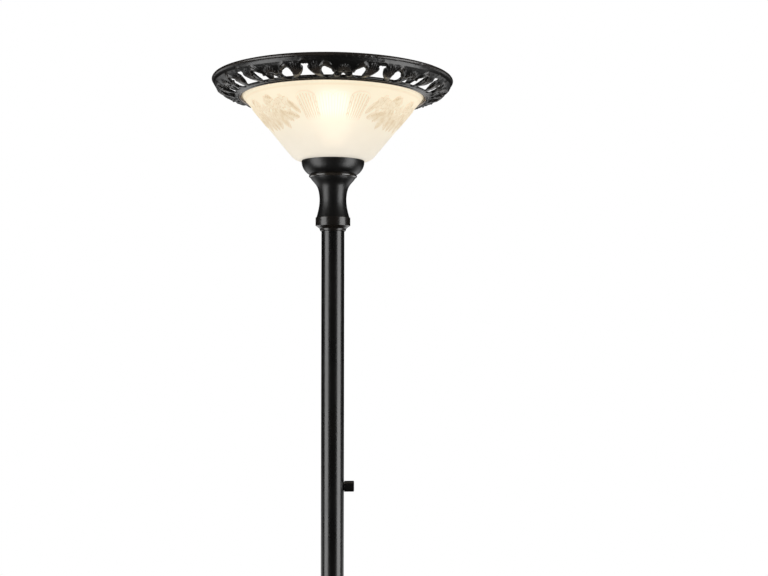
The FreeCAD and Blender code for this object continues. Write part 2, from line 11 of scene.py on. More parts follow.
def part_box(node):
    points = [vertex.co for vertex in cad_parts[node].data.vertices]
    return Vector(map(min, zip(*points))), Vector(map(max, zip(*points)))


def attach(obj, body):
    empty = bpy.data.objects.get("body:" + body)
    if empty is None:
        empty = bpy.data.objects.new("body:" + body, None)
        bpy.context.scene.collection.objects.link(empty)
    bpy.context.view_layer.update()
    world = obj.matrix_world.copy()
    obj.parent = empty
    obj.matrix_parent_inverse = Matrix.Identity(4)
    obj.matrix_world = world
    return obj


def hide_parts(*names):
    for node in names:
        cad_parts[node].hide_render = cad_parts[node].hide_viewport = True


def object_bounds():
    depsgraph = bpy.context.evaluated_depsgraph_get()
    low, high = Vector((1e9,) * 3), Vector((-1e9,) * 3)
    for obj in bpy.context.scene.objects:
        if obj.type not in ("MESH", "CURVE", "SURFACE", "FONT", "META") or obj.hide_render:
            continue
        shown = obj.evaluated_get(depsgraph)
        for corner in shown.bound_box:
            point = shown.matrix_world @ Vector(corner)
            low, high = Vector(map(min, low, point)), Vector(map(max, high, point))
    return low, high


MM = 0.001

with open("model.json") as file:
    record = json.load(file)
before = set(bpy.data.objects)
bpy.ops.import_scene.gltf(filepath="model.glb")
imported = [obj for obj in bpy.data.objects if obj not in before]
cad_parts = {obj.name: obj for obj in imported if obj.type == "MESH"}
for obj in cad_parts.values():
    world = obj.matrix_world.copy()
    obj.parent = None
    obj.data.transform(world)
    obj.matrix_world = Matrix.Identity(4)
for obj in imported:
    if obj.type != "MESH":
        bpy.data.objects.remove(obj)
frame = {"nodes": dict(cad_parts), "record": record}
cad_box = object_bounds()
nodes = frame["nodes"]
scene = bpy.context.scene


# ---------------------------------------------------------------- places, all worked out from the frame

bowl_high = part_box("glass_bowl")[1]
ring_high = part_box("rim_ring")[1]
bulb_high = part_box("bulb_glass")[1]
cup_low, cup_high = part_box("fitter_cup")
bowl_radius = bowl_high.x
ring_radius = ring_high.x
bulb_centre = Vector((0, 0, bulb_high.z - bulb_high.x))
lamp_height = cad_box[1].z


# ---------------------------------------------------------------- shader maths

class Wire:
    """One shader socket. Arithmetic on wires adds Math nodes to the finish they belong to."""

    def __init__(self, finish, socket):
        self.finish = finish
        self.socket = socket

    def sum(self, operation, *others, clamp=False):
        inputs = dict(enumerate((self,) + others))
        return self.finish.node("Math", {"operation": operation, "use_clamp": clamp}, inputs)

    def __add__(self, other):
        return self.sum("ADD", other)

    def __sub__(self, other):
        return self.sum("SUBTRACT", other)

    def __mul__(self, other):
        return self.sum("MULTIPLY", other)

    def __truediv__(self, other):
        return self.sum("DIVIDE", other)

    def __pow__(self, other):
        return self.sum("POWER", other)

    def __rsub__(self, other):
        return self.finish.node("Math", {"operation": "SUBTRACT"}, {0: other, 1: self})

    __radd__ = __add__
    __rmul__ = __mul__

    def clamped(self):
        return self.sum("ADD", 0.0, clamp=True)

    def between(self, low, high):
        """0 below low, 1 above high, smooth in between."""
        settings = {"interpolation_type": "SMOOTHSTEP"}
        return self.finish.node("MapRange", settings, {"Value": self, "From Min": low, "From Max": high})


class Finish:
    """A material, or the sky, under construction."""

    def __init__(self, owner):
        self.owner = bpy.data.materials.new(owner) if isinstance(owner, str) else owner
        self.owner.use_nodes = True
        self.tree = self.owner.node_tree
        self.tree.nodes.clear()

    def node(self, kind, settings=None, inputs=None, output=0):
        """Adds a node: its settings and ramp stops first, then the values or wires of its sockets."""
        made = self.tree.nodes.new("ShaderNode" + kind)
        for name, value in (settings or {}).items():
            if name == "stops":
                ramp = made.color_ramp.elements
                while len(ramp) < len(value):
                    ramp.new(1.0)
                for stop, (place, colour) in zip(ramp, value):
                    stop.position = place
                    stop.color = (*colour, 1.0)
            else:
                setattr(made, name, value)
        for name, value in (inputs or {}).items():
            if isinstance(value, Wire):
                self.tree.links.new(value.socket, made.inputs[name])
            else:
                made.inputs[name].default_value = value
        return Wire(self, made.outputs[output]) if made.outputs else made

    def place(self):
        return self.node("TexCoord", output="Object")

    def split(self, vector):
        first = self.node("SeparateXYZ", None, {0: vector})
        outputs = first.socket.node.outputs
        return [Wire(self, socket) for socket in outputs]

    def noise(self, scale, detail=3.0, roughness=0.55, vector=None):
        inputs = {"Scale": scale, "Detail": detail, "Roughness": roughness, "Vector": vector or self.place()}
        return self.node("TexNoise", None, inputs)

    def mix(self, factor, first, second):
        """A blend of two colours."""
        settings = {"data_type": "RGBA"}
        return self.node("Mix", settings, {0: factor, 6: first, 7: second}, output=2)

    def bump(self, height, strength, distance):
        return self.node("Bump", None, {"Height": height, "Strength": strength, "Distance": distance})

    def attribute(self, name):
        return self.node("Attribute", {"attribute_name": name}, output="Fac")

    def surface(self, **sockets):
        """The Principled shader; underscores in the socket names stand for spaces."""
        inputs = {name.replace("_", " "): value for name, value in sockets.items()}
        return self.node("BsdfPrincipled", None, inputs)

    def done(self, shader, output="OutputMaterial"):
        self.node(output, None, {"Surface": shader})
        return self.owner


def colour(red, green, blue):
    return (red, green, blue, 1.0)


# ---------------------------------------------------------------- finishes

def baked_enamel(name, body, warm, roughness):
    """Sprayed and baked enamel: faint orange peel, a warm cast that comes and goes, a few dull patches."""
    finish = Finish(name)
    cast = finish.noise(9.0, 2.0).between(0.4, 0.7)
    speck = finish.noise(900.0, 2.0).between(0.62, 0.8)
    base = finish.mix(cast, colour(*body), colour(*warm))
    peel = finish.noise(420.0, 2.0, 0.5) + finish.noise(1500.0, 1.0, 0.5) * 0.3
    rough = finish.noise(26.0, 3.0).between(0.3, 0.8) * 0.06 + speck * 0.04 + roughness
    shader = finish.surface(
        Base_Color=base,
        Roughness=rough,
        Normal=finish.bump(peel, 0.12, 0.0004),
        Coat_Weight=0.25,
        Coat_Roughness=0.12,
    )
    return finish.done(shader)


def studio_metal(name, tint, roughness, grain):
    """Bright bare metal with fine turning marks."""
    finish = Finish(name)
    marks = finish.noise(grain, 2.0, 0.6, finish.node(
        "Mapping", None, {"Vector": finish.place(), "Scale": (1.0, 1.0, 12.0)}))
    dull = finish.noise(40.0).between(0.35, 0.75)
    base = finish.mix(dull, colour(*tint), colour(*(0.8 * part for part in tint)))
    shader = finish.surface(
        Base_Color=base,
        Metallic=1.0,
        Roughness=marks * 0.12 + roughness,
        Normal=finish.bump(marks, 0.15, 0.0002),
    )
    return finish.done(shader)


def plain_moulding(name, tint, roughness, grain=700.0):
    """Moulded plastic or rubber: a fine matt texture and slight mottling."""
    finish = Finish(name)
    mottle = finish.noise(60.0).between(0.35, 0.7)
    base = finish.mix(mottle, colour(*tint), colour(*(0.85 * part for part in tint)))
    shader = finish.surface(
        Base_Color=base,
        Roughness=finish.noise(grain) * 0.15 + roughness,
        Normal=finish.bump(finish.noise(grain), 0.2, 0.0003),
    )
    return finish.done(shader)


CUP_BEAD_HEIGHT = cup_low.z + 2.0 * MM
CUP_BEAD_HALF = 1.6 * MM


def turned_enamel():
    """The enamel of the neck and the cup: softer than the tube's, but polished on the cup's bead, which is
    also painted lighter as a highlight.
    """
    finish = Finish("turned_enamel")
    height = finish.split(finish.place())[2]
    bead = 1.0 - (height - CUP_BEAD_HEIGHT).sum("ABSOLUTE").between(CUP_BEAD_HALF, CUP_BEAD_HALF + 1.0 * MM)
    cast = finish.noise(9.0, 2.0).between(0.4, 0.7)
    base = finish.mix(cast, colour(0.0026, 0.0024, 0.0022), colour(0.0036, 0.0030, 0.0025))
    # Painted highlight: the bead's colour is lighter, for the bright line along it.
    base = finish.mix(bead, base, colour(0.022, 0.017, 0.013))
    peel = finish.noise(420.0, 2.0, 0.5) + finish.noise(1500.0, 1.0, 0.5) * 0.3
    rough = finish.noise(26.0, 3.0).between(0.3, 0.8) * 0.06 + 0.34 - bead * 0.18
    shader = finish.surface(
        Base_Color=base,
        Roughness=rough,
        Normal=finish.bump(peel, 0.12, 0.0004),
        Coat_Weight=bead * 0.9,
        Coat_Roughness=0.12,
    )
    return finish.done(shader)


RING_GLOW_BAND = (bowl_radius + 2.8 * MM, bowl_radius + 4.5 * MM)
RING_SMOOTH_BORDER = (bowl_radius + 8.0 * MM, bowl_radius + 10.0 * MM)
RUBBED_HEIGHT = (1.5, 2.7)


def ring_bronze():
    """The casting's enamel: rubbed brighter where the relief stands up, with a painted warm glow from the lit
    glass next to the glass.
    """
    finish = Finish("ring_casting")
    x, y, z = finish.split(finish.place())
    radius = (x * x + y * y) ** 0.5
    painted_glass_glow = 1.0 - radius.between(*RING_GLOW_BAND)
    border = 1.0 - radius.between(*RING_SMOOTH_BORDER)
    rubbed = finish.attribute("raised").between(*RUBBED_HEIGHT)
    cast = finish.noise(30.0, 3.0).between(0.35, 0.7)
    base = finish.mix(cast, colour(0.0022, 0.0019, 0.0017), colour(0.0036, 0.0029, 0.0024))
    base = finish.mix(rubbed, base, colour(0.026, 0.021, 0.017))
    # Painted light: a warm brown band next to the glass stands in for the lit glass's glow on the casting.
    base = finish.mix(painted_glass_glow, base, colour(0.090, 0.055, 0.024))
    pits = finish.noise(650.0, 2.0, 0.6)
    rough = 0.30 - rubbed * 0.13 - border * 0.12 + pits * 0.06
    shader = finish.surface(
        Base_Color=base,
        Roughness=rough,
        Normal=finish.bump(pits + finish.noise(160.0) * 2.0, 0.24, 0.0005),
        Coat_Weight=0.15,
        Coat_Roughness=0.15,
    )
    return finish.done(shader)


black_enamel = baked_enamel("black_enamel", (0.0026, 0.0024, 0.0022), (0.0036, 0.0030, 0.0025), 0.26)
bronzed = baked_enamel("bronzed_collar", (0.0065, 0.0045, 0.0032), (0.0120, 0.0080, 0.0055), 0.28)
soft_enamel = turned_enamel()
casting = ring_bronze()
steel = studio_metal("plated_steel", (0.60, 0.60, 0.61), 0.28, 300.0)
brass = studio_metal("spring_brass", (0.80, 0.60, 0.28), 0.24, 300.0)
aluminium = studio_metal("cap_aluminium", (0.76, 0.76, 0.77), 0.26, 260.0)
iron = plain_moulding("cast_weight", (0.10, 0.10, 0.10), 0.75, 220.0)
felt = plain_moulding("felt", (0.025, 0.025, 0.026), 0.95, 2400.0)
rubber = plain_moulding("black_rubber", (0.025, 0.025, 0.025), 0.70)
phenolic = plain_moulding("phenolic", (0.022, 0.020, 0.018), 0.42)
switch_plastic = plain_moulding("switch_plastic", (0.05, 0.05, 0.05), 0.50)
silicone = plain_moulding("clear_rubber", (0.72, 0.70, 0.66), 0.55)
insulator = plain_moulding("black_glass", (0.02, 0.02, 0.025), 0.12)
solder = plain_moulding("solder", (0.55, 0.55, 0.55), 0.35)
insulation = plain_moulding("lead_insulation", (0.80, 0.77, 0.70), 0.40)


PAINTED_GLASS_GLOW = 0.42
BULB_GLOW = 2.7


def lit_bowl_glass():
    """Frosted cream glass with a painted glow of its own besides the bulb's light, warmer towards the top:
    browner over its leaves, with painted shade in its creases and a painted bright patch amid each fan.
    """
    finish = Finish("frosted_glass")
    cloud = finish.noise(16.0, 3.0).between(0.3, 0.7)
    patches = finish.noise(130.0, 3.0).between(0.35, 0.65) * 0.6 + 0.4
    # Painted shade: creases and the line under the edge step are browner and glow dimmer; the leaves are
    # browner too.
    thick = (finish.attribute("leaves") * patches * 0.85 + finish.attribute("crease") * 0.85).clamped()
    # Painted highlight: the clear patch amid each fan is lighter in colour and glows brighter, standing in
    # for the bulb seen through the glass.
    clear = finish.attribute("clear")
    body = finish.mix(cloud, colour(0.61, 0.55, 0.45), colour(0.65, 0.59, 0.49))
    body = finish.mix(clear, body, colour(0.68, 0.65, 0.57))
    base = finish.mix(thick, body, colour(0.42, 0.32, 0.20))
    # Painted light: the glass's own emission stands in for the bulb's light through it, warmer and brighter
    # towards the top.
    height = finish.split(finish.place())[2].between(cup_high.z, bowl_high.z)
    glow = finish.mix(height, colour(0.70, 0.69, 0.65), colour(0.97, 0.87, 0.65))
    glow = finish.mix(clear, glow, colour(1.0, 0.96, 0.84))
    glow = finish.mix(thick, glow, colour(0.72, 0.58, 0.38))
    shader = finish.surface(
        Base_Color=base,
        Roughness=finish.noise(900.0, 2.0) * 0.1 + 0.48,
        IOR=1.25,
        Transmission_Weight=0.30,
        Emission_Color=glow,
        Emission_Strength=PAINTED_GLASS_GLOW,
        Normal=finish.bump(finish.noise(700.0), 0.15, 0.0003),
    )
    return finish.done(shader)


def lit_bulb_glass():
    """The bulb's inside frosting, glowing most about its middle."""
    finish = Finish("bulb_frosted")
    height = finish.split(finish.place())[2]
    middle = (height - bulb_centre.z) / (bulb_high.x * 1.4)
    near = 1.0 - (middle * middle).clamped()
    glow = finish.mix(near, colour(1.0, 0.82, 0.62), colour(1.0, 0.96, 0.88))
    shader = finish.surface(
        Base_Color=finish.mix(finish.noise(60.0), colour(0.9, 0.9, 0.88), colour(0.95, 0.95, 0.93)),
        Roughness=finish.noise(800.0) * 0.1 + 0.35,
        Emission_Color=glow,
        Emission_Strength=BULB_GLOW,
    )
    return finish.done(shader)


bowl_glass = lit_bowl_glass()
bulb_glow = lit_bulb_glass()

FINISHES = {
    "black_enamel": black_enamel,
    "bronzed_collar": bronzed,
    "ring_casting": casting,
    "plated_steel": steel,
    "spring_brass": brass,
    "cap_aluminium": aluminium,
    "cast_weight": iron,
    "felt": felt,
    "black_rubber": rubber,
    "phenolic": phenolic,
    "switch_plastic": switch_plastic,
    "clear_rubber": silicone,
    "black_glass": insulator,
    "solder": solder,
    "lead_insulation": insulation,
    "frosted_glass": bowl_glass,
    "bulb_frosted": bulb_glow,
    "bulb_stem_glass": silicone,
}

for part in frame["record"]["subparts"]:
    piece = nodes[part["node"]]
    piece.data.materials.clear()
    piece.data.materials.append(FINISHES[part["material_slot"]])

for node in ("neck_bell", "fitter_cup"):
    nodes[node].data.materials[0] = soft_enamel


# ---------------------------------------------------------------- making pieces

def new_piece(name, bm):
    """An object at the origin, in the scene, with the bmesh as its mesh."""
    mesh = bpy.data.meshes.new(name)
    bm.to_mesh(mesh)
    bm.free()
    piece = bpy.data.objects.new(name, mesh)
    scene.collection.objects.link(piece)
    return piece


def apply_modifiers(piece):
    graph = bpy.context.evaluated_depsgraph_get()
    mesh = bpy.data.meshes.new_from_object(piece.evaluated_get(graph))
    piece.modifiers.clear()
    piece.data = mesh


def finish_piece(piece, material, slot, *replaced, body="lamp"):
    """Gives a piece its finish and its body, and the frame's nodes it stands for; the slot is not used."""
    piece.data.materials.clear()
    piece.data.materials.append(material)
    piece.data.shade_smooth()
    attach(piece, body)
    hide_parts(*replaced)


def vertex_places(mesh):
    flat = np.empty(len(mesh.vertices) * 3, np.float32)
    mesh.vertices.foreach_get("co", flat)
    return flat.reshape(-1, 3).astype(float)


def section_of(node):
    """The frame's own section of a turned node, as a loop of edges in the half plane where x is positive."""
    bm = bmesh.new()
    bm.from_mesh(nodes[node].data)
    bmesh.ops.remove_doubles(bm, verts=bm.verts, dist=0.001 * MM)
    everything = bm.verts[:] + bm.edges[:] + bm.faces[:]
    bmesh.ops.bisect_plane(bm, geom=everything, dist=0.0005 * MM, plane_co=(0, 0, 0), plane_no=(0, 1, 0))
    loose = [vert for vert in bm.verts if abs(vert.co.y) > 0.001 * MM or vert.co.x <= 0]
    bmesh.ops.delete(bm, geom=loose, context="VERTS")
    bmesh.ops.delete(bm, geom=bm.faces[:], context="FACES_ONLY")
    bmesh.ops.dissolve_limit(bm, angle_limit=math.radians(0.2), verts=bm.verts, edges=bm.edges)
    return bm


def divided(bm, longest, edges=None):
    """Cuts every edge of the section, or each given one, that is longer than the given length."""
    for edge in edges or bm.edges[:]:
        cuts = int(edge.calc_length() / longest)
        if cuts:
            bmesh.ops.subdivide_edges(bm, edges=[edge], cuts=cuts)


def turned(bm, parts, steps):
    """Spins the section round the lamp's axis: one share of the circle, copied until the ring is closed."""
    share = math.tau / parts
    line = bm.verts[:] + bm.edges[:]
    bmesh.ops.spin(bm, geom=line, axis=(0, 0, 1), cent=(0, 0, 0), angle=share, steps=steps)
    wedge = bpy.data.meshes.new("wedge")
    bm.to_mesh(wedge)
    for number in range(1, parts):
        wedge.transform(Matrix.Rotation(share, 4, "Z"))
        bm.from_mesh(wedge)
    bpy.data.meshes.remove(wedge)
    bmesh.ops.remove_doubles(bm, verts=bm.verts, dist=0.005 * MM)
    bmesh.ops.recalc_face_normals(bm, faces=bm.faces)
    return bm


# ---------------------------------------------------------------- moulded glass

GLASS_FANS = 3
GLASS_RELIEF = 1.1
GLASS_PITCH = 1.4 * MM
GLASS_STEPS = 125
MOULDED_DEPTH = (2, 60)
EDGE_STEP = 5.0
CREASE_REACH = 0.9

FAN_TOP = 13.0
FAN_FOOT = 45.0
FAN_DRAW = 0.36
FAN_LOBES = (-39.0, -13.0, 13.0, 39.0)
LOBE_HALF = 13.0
LOBE_ROUNDING = 6.0
RIBS_PER_LOBE = 6
# Size and depth of the painted bright patch amid each fan.
HOT_SPOT_HALF = (24, 15)
HOT_SPOT_DOWN = 27

# out from the spray's middle, down, reach, turn of the first petal
SPRAY_FLOWERS = (
    (43.0, 23.0, 8.5, 90),
    (29.5, 26.0, 8.0, 60),
    (14.5, 21.0, 7.5, 20),
    (0.0, 30.0, 8.5, 90),
)
# out from the spray's middle, down, half length, half width, lean
SPRAY_LEAVES = (
    (0.0, 42.0, 10.0, 5.5, 90),
    (11.0, 40.5, 11.5, 6.0, 104),
    (22.0, 40.0, 12.5, 6.5, 76),
    (31.5, 37.0, 9.5, 4.8, 50),
    (42.0, 37.5, 9.0, 4.4, 20),
    (53.0, 29.0, 8.0, 3.8, 68),
    (22.0, 15.5, 6.0, 3.0, 20),
)


def cushion(across, down, centre, size, lean=0.0):
    """A rounded oval swelling, 1 at its middle and 0 from its edge outwards; all in millimetres."""
    east, south = across - centre[0], down - centre[1]
    cosine, sine = math.cos(math.radians(lean)), math.sin(math.radians(lean))
    along = (east * cosine + south * sine) / size[0]
    athwart = (south * cosine - east * sine) / size[1]
    return np.sqrt(np.clip(1 - along ** 2 - athwart ** 2, 0, 1))


def shell_fan(across, down):
    """Ribbed lobes that draw together towards the foot; the middle ones are shallower."""
    fall = np.clip((down - FAN_TOP) / (FAN_FOOT - FAN_TOP), -0.5, 1.2)
    spread = across / (1 - FAN_DRAW * fall)
    height = np.zeros_like(across)
    for lobe in FAN_LOBES:
        place = (spread - lobe) / LOBE_HALF
        inside = np.clip(1 - place ** 2, 0, 1)
        top = FAN_TOP + LOBE_ROUNDING * (1 - np.sqrt(inside))
        fade = np.clip((down - top) / 1.6, 0, 1) * np.clip((FAN_FOOT - down) / 7.0, 0, 1)
        rib = np.abs(np.cos(place * math.pi * RIBS_PER_LOBE / 2))
        edge = np.exp(-((down - top - 1.6) / 1.3) ** 2)
        shape = np.maximum((0.3 + 0.7 * rib) * fade, 0.8 * edge * (inside > 0.02))
        depth = 0.25 + 0.75 * (abs(lobe) / FAN_LOBES[-1]) ** 2
        height = np.where(inside > 0, shape * depth, height)
    return height


def rosette(across, down, centre, petals, reach, turn):
    """A flower of round petals about a bead."""
    height = cushion(across, down, centre, (0.34 * reach, 0.34 * reach))
    for number in range(petals):
        way = math.radians(turn + 360 * number / petals)
        middle = (centre[0] + 0.66 * reach * math.cos(way), centre[1] + 0.66 * reach * math.sin(way))
        petal = cushion(across, down, middle, (0.42 * reach, 0.33 * reach), math.degrees(way))
        height = np.maximum(height, petal)
    return height


def leaf(across, down, centre, size, lean):
    """A pointed leaf with a sunk midrib."""
    east, south = across - centre[0], down - centre[1]
    cosine, sine = math.cos(math.radians(lean)), math.sin(math.radians(lean))
    along = (east * cosine + south * sine) / size[0]
    athwart = (south * cosine - east * sine) / (size[1] * np.clip(1 - along ** 2, 0.02, 1))
    body = np.clip(1 - athwart ** 2, 0, 1) * (np.abs(along) < 1)
    return np.sqrt(body) * (1 - 0.5 * np.exp(-(athwart / 0.16) ** 2))


def flowers(across, down):
    """The blooms of the spray between two fans."""
    shapes = []
    for east, south, reach, turn in SPRAY_FLOWERS:
        for side in (-1, 1):
            shapes.append(rosette(across, down, (side * east, south), 6, reach, side * turn))
    return np.maximum.reduce(shapes)


def foliage(across, down):
    """The leaves about the blooms, thickest in the spray's lower part."""
    shapes = []
    for east, south, length, width, lean in SPRAY_LEAVES:
        for side in (-1, 1):
            shapes.append(leaf(across, down, (side * east, south), (length, width), side * lean))
    return np.maximum.reduce(shapes)


def from_nearest(angle, first):
    """The angle from the nearest motif's middle; the first motif stands at the given angle."""
    share = math.tau / GLASS_FANS
    return (angle - first + share / 2) % share - share / 2


def glass_relief(angle, girth, down):
    """The moulding's height and how leafy it is, both 0 to 1, some millimetres below the edge."""
    fan_across = from_nearest(angle, 0) * girth
    spray_across = from_nearest(angle, math.pi / GLASS_FANS) * girth
    leaves = foliage(spray_across, down)
    blooms = flowers(spray_across, down)
    height = np.maximum.reduce([shell_fan(fan_across, down), blooms, 0.85 * leaves])
    return height, np.maximum(leaves, 0.5 * blooms)


def moulded_bowl():
    """The frame's bowl turned finely, with its outer face pressed into fans and flowers."""
    bm = section_of("glass_bowl")
    outer_wall = max(bm.edges, key=lambda edge: edge.calc_length() + sum(vert.co.x for vert in edge.verts))
    divided(bm, GLASS_PITCH, [outer_wall])
    divided(bm, 5.0 * MM)
    bm = turned(bm, 2 * GLASS_FANS, GLASS_STEPS)
    bowl = new_piece("moulded_bowl", bm)
    place = vertex_places(bowl.data)
    radius = np.hypot(place[:, 0], place[:, 1])
    down = (bowl_high.z - place[:, 2]) / MM
    shoulder = radius[(down > 70) & (down < 72)].max()
    slant = (bowl_radius - shoulder) / (71 * MM)
    cone = bowl_radius - down * MM * slant
    outside = (radius > cone - 1.0 * MM) & (down > MOULDED_DEPTH[0]) & (down < MOULDED_DEPTH[1])
    angle = np.arctan2(place[:, 0], -place[:, 1])
    girth = radius / MM
    height, leaves = glass_relief(angle, girth, down)
    fan_across = from_nearest(angle, 0) * girth
    # Painted highlight: a bright patch amid every fan, where the bulb shows through the front one.
    clear = np.exp(-(fan_across / HOT_SPOT_HALF[0]) ** 4 - ((down - HOT_SPOT_DOWN) / HOT_SPOT_HALF[1]) ** 4)
    # Painted shade: how hollow the relief is at each point, strongest in its creases.
    crease = -4 * height
    for east, south in ((-1, 0), (1, 0), (0, -1), (0, 1)):
        turned_angle = angle + east * CREASE_REACH / girth
        crease += glass_relief(turned_angle, girth, down + south * CREASE_REACH)[0]
    step = 0.25 * (1 - np.clip((down - EDGE_STEP) / 1.5, 0, 1))
    lift = np.where(outside, (height + step) * GLASS_RELIEF * MM, 0)
    out = place[:, :2] / radius[:, None]
    place[:, :2] += out * lift[:, None]
    bowl.data.vertices.foreach_set("co", place.astype(np.float32).ravel())
    # Painted shade along the line under the step near the bowl's edge.
    crease = np.clip(1.2 * crease, 0, 1) + 0.35 * np.exp(-((down - EDGE_STEP - 0.8) / 0.8) ** 2)
    for name, values in (("leaves", leaves), ("crease", crease), ("clear", clear)):
        layer = bowl.data.attributes.new(name, "FLOAT", "POINT")
        layer.data.foreach_set("value", (values * outside).astype(np.float32))
    finish_piece(bowl, bowl_glass, "frosted_glass", "glass_bowl")


moulded_bowl()


# ---------------------------------------------------------------- cast ring

RING_BEAD = 2.5
RING_WIDTH = 41.0
RING_SECTION = ((3.0, -0.3), (8.5, -0.1), (14.0, 1.4), (20.0, 3.7), (30.0, 8.4), (35.0, 12.8), (38.5, 20.6))
RING_RIDGES = ((162.2, 1.9), (133.2, 2.0))
RING_PERIODS = 10
FIRST_BELL = 5.0
LEAF_GAP_ANGLE = 10.1
OPENINGS_FOOT = 136.0
RING_VOXEL = 0.8 * MM
RING_TRIANGLES = 190000


def smooth_line(points, steps=5):
    """Points on a Catmull-Rom curve through the given ones."""
    points = [Vector((*point, 0)) for point in points]
    ends = [2 * points[0] - points[1]] + points + [2 * points[-1] - points[-2]]
    line = []
    for before, start, end, after in zip(ends, ends[1:], ends[2:], ends[3:]):
        for step in range(steps):
            t = step / steps
            bend = (2 * before - 5 * start + 4 * end - after) * t ** 2
            twist = (3 * start - before - 3 * end + after) * t ** 3
            line.append(0.5 * (2 * start + (end - before) * t + bend + twist))
    return line + [points[-1]]


RING_LINE = np.array([tuple(point) for point in smooth_line(RING_SECTION, 8)])
RING_LINE[:, 0] += ring_radius / MM - RING_WIDTH
RING_LINE[:, 1] += ring_high.z / MM - RING_BEAD - RING_SECTION[-1][1]
RING_LEAN = np.arctan2(np.gradient(RING_LINE[:, 1]), np.gradient(RING_LINE[:, 0]))


def on_ring(places):
    """Carries places from the flat layout to the ring's web, standing them up square to it."""
    radius = np.hypot(places[:, 0], places[:, 1])
    middle = np.interp(radius, RING_LINE[:, 0], RING_LINE[:, 1])
    lean = np.interp(radius, RING_LINE[:, 0], RING_LEAN)
    reach = 1 - np.sin(lean) * places[:, 2] / radius
    return np.column_stack((places[:, 0] * reach, places[:, 1] * reach, middle + np.cos(lean) * places[:, 2]))


def off_ring(places):
    """How far places stand from the middle of the ring's web, in millimetres."""
    radius = np.hypot(places[:, 0], places[:, 1])
    out = radius[:, None] - RING_LINE[None, :, 0]
    up = places[:, 2][:, None] - RING_LINE[None, :, 1]
    return np.sqrt((out ** 2 + up ** 2).min(axis=1))


class Relief:
    """Cast ornament laid out flat in millimetres: x out from the openings' foot, y across, z off the web."""

    def __init__(self):
        self.bm = bmesh.new()

    def petal(self, foot, tip, foot_width, tip_width, proud):
        """A drop that swells from foot to tip."""
        foot, tip = Vector((*foot, 0)), Vector((*tip, 0))
        half = (tip - foot).length / 2
        turn = (tip - foot).to_track_quat("X", "Z").to_matrix().to_4x4()
        verts = bmesh.ops.create_icosphere(self.bm, subdivisions=2, radius=1)["verts"]
        for vert in verts:
            along = (vert.co.x + 1) / 2
            width = foot_width + (tip_width - foot_width) * along
            vert.co.x *= half
            vert.co.y *= width / 2
            vert.co.z *= proud * (0.7 + 0.3 * along)
        bmesh.ops.transform(self.bm, matrix=Matrix.Translation((foot + tip) / 2) @ turn, verts=verts)

    def bead(self, place, radius, proud):
        verts = bmesh.ops.create_icosphere(self.bm, subdivisions=2, radius=1)["verts"]
        size = Matrix.Diagonal((radius, radius, proud, 1))
        bmesh.ops.transform(self.bm, matrix=Matrix.Translation((*place, 0)) @ size, verts=verts)

    def strand(self, points, widths, proud):
        """A stem or scroll through the points; its half width runs evenly through the widths."""
        line = smooth_line(points)
        verts = bmesh.ops.create_circle(self.bm, cap_ends=True, segments=10, radius=1)["verts"]
        face = verts[0].link_faces[0]
        last = Matrix.Identity(4)
        for index, point in enumerate(line):
            share = index / (len(line) - 1) * (len(widths) - 1)
            low = min(int(share), len(widths) - 2)
            width = widths[low] + (widths[low + 1] - widths[low]) * (share - low)
            ahead = line[min(index + 1, len(line) - 1)] - line[max(index - 1, 0)]
            turn = ahead.to_track_quat("Z", "X").to_matrix().to_4x4()
            thick = proud * width / max(widths)
            size = Matrix.Diagonal((thick, width, 1, 1)) if abs(turn[2][0]) > 0.5 else Matrix.Diagonal(
                (width, thick, 1, 1))
            here = Matrix.Translation(point) @ turn @ size
            if index:
                grown = bmesh.ops.extrude_face_region(self.bm, geom=[face])["geom"]
                verts = [item for item in grown if isinstance(item, bmesh.types.BMVert)]
                face = next(item for item in grown if isinstance(item, bmesh.types.BMFace))
            bmesh.ops.transform(self.bm, matrix=here @ last.inverted(), verts=verts)
            last = here

    def mesh(self):
        """The ornament as a mesh, made flatter towards its foot."""
        for vert in self.bm.verts:
            vert.co.z *= np.interp(vert.co.x, (-3.0, 9.0), (0.6, 1.0))
        made = bpy.data.meshes.new("relief")
        self.bm.to_mesh(made)
        self.bm.free()
        return made


def fan_half():
    """The fan's rays on one side of its axis, with the scroll at its foot and the lobe at its side."""
    relief = Relief()
    hub = Vector((10.4, 0))
    for ray in range(5):
        lean = math.radians(17.0 * ray)
        aim = Vector((math.cos(lean), math.sin(lean)))
        reach = 14.0 - 0.2 * ray * ray
        relief.petal(hub + 1.8 * aim, hub + reach * aim, 1.2, 3.5, 3.4)
    relief.bead((11.6, 0), 1.9, 3.2)
    relief.bead((12.4, 12.6), 2.2, 3.8)
    scroll = [(-0.6, 6.4), (3.0, 5.4), (3.6, 8.6), (7.2, 9.6), (8.8, 7.4)]
    relief.strand(scroll, (0.8, 1.2, 1.5, 1.2, 0.9), 3.0)
    relief.petal((7.6, 10.4), (18.6, 13.6), 2.8, 5.0, 2.9)
    return relief.mesh()


def hood_scroll():
    """The scroll that curls over a leaf gap and ends in two beads; y runs towards the fan."""
    relief = Relief()
    over = [(2.0, 8.6), (13.0, 8.8), (19.2, 4.4), (22.6, -0.4), (23.2, -4.6), (20.0, -8.4)]
    relief.strand(over, (0.8, 1.1, 1.3, 1.4, 1.1), 3.0)
    relief.strand([(18.4, 7.6), (22.8, 4.2), (25.2, -1.6), (24.8, -7.0)], (0.5, 1.2, 1.2, 0.5), 2.4)
    relief.bead((14.8, -8.8), 2.0, 3.8)
    relief.bead((19.4, -7.6), 1.4, 3.4)
    relief.strand([(0.0, -5.8), (6.0, -8.0), (12.5, -8.6)], (0.9, 1.2, 1.0), 2.6)
    return relief.mesh()


